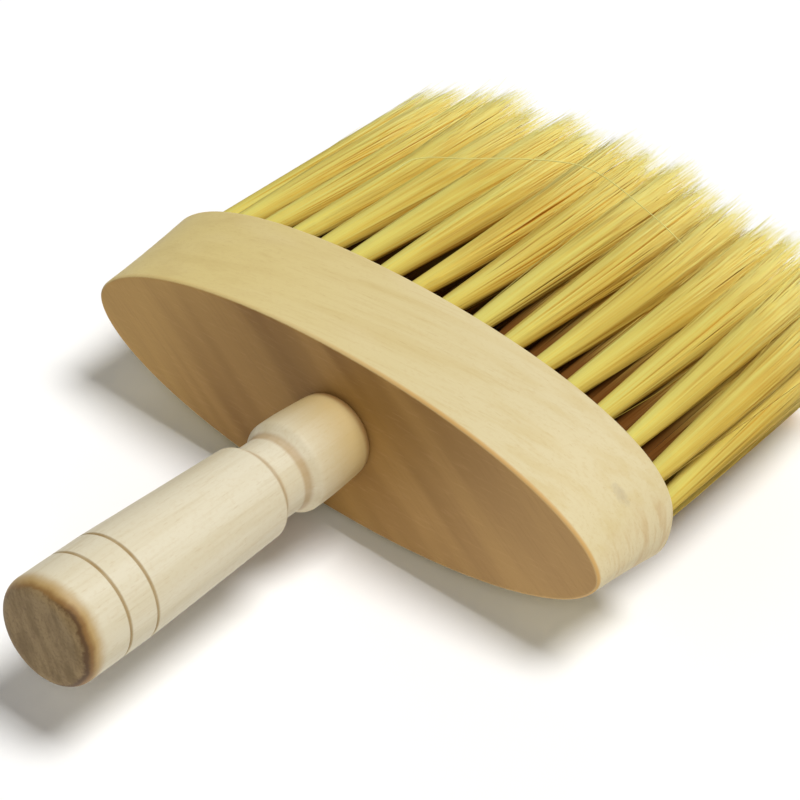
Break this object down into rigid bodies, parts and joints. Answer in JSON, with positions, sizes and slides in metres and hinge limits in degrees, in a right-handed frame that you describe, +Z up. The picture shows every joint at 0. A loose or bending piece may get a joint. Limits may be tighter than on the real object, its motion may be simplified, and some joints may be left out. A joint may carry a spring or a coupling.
{
  "type": "neck duster brush",
  "caption": "Wide wooden neck duster with a lens-shaped block, a turned handle glued into it and long soft golden filament tufts.",
  "frame": {"origin": "middle of the footprint of the brush lying on its side, level with the lower edge of the block at the bristle face", "axes": "+Y from the handle butt along the handle axis to the bristle tips, +X along the long axis of the block, +Z up through the thickness of the block"},
  "size_m": [0.1474, 0.2144, 0.0541],
  "materials": {
    "block_wood": "smooth sanded, clear matt lacquer",
    "handle_wood": "turned, satin clear lacquer",
    "bristle": "fine golden nylon filament",
    "anchor_wire": "flat drawn wire"
  },
  "bodies": {
    "root": {"anchors_centre_row": "anchor_wire", "anchors_edge_row": "anchor_wire", "anchors_second_row": "anchor_wire", "anchors_third_row": "anchor_wire", "block": "block_wood", "handle": "handle_wood", "tuft_edge_01": "bristle", "tuft_edge_02": "bristle", "tuft_edge_03": "bristle", "tuft_edge_04": "bristle", "tuft_edge_05": "bristle", "tuft_edge_06": "bristle", "tuft_edge_07": "bristle", "tuft_edge_08": "bristle", "tuft_edge_09": "bristle", "tuft_edge_10": "bristle", "tuft_edge_11": "bristle", "tuft_edge_12": "bristle", "tuft_edge_13": "bristle", "tuft_edge_14": "bristle", "tuft_edge_15": "bristle", "tuft_edge_16": "bristle", "tuft_edge_17": "bristle", "tuft_edge_18": "bristle", "tuft_edge_19": "bristle", "tuft_edge_20": "bristle", "tuft_edge_21": "bristle", "tuft_edge_22": "bristle", "tuft_edge_23": "bristle", "tuft_edge_24": "bristle", "tuft_edge_25": "bristle", "tuft_edge_26": "bristle", "tuft_edge_27": "bristle", "tuft_edge_28": "bristle", "tuft_edge_29": "bristle", "tuft_edge_30": "bristle", "tuft_edge_31": "bristle", "tuft_edge_32": "bristle", "tuft_edge_33": "bristle", "tuft_edge_34": "bristle", "tufts_centre_row": "bristle", "tufts_second_row_lower": "bristle", "tufts_second_row_upper": "bristle", "tufts_third_row_lower": "bristle", "tufts_third_row_upper": "bristle"}
  },
  "joints": []
}
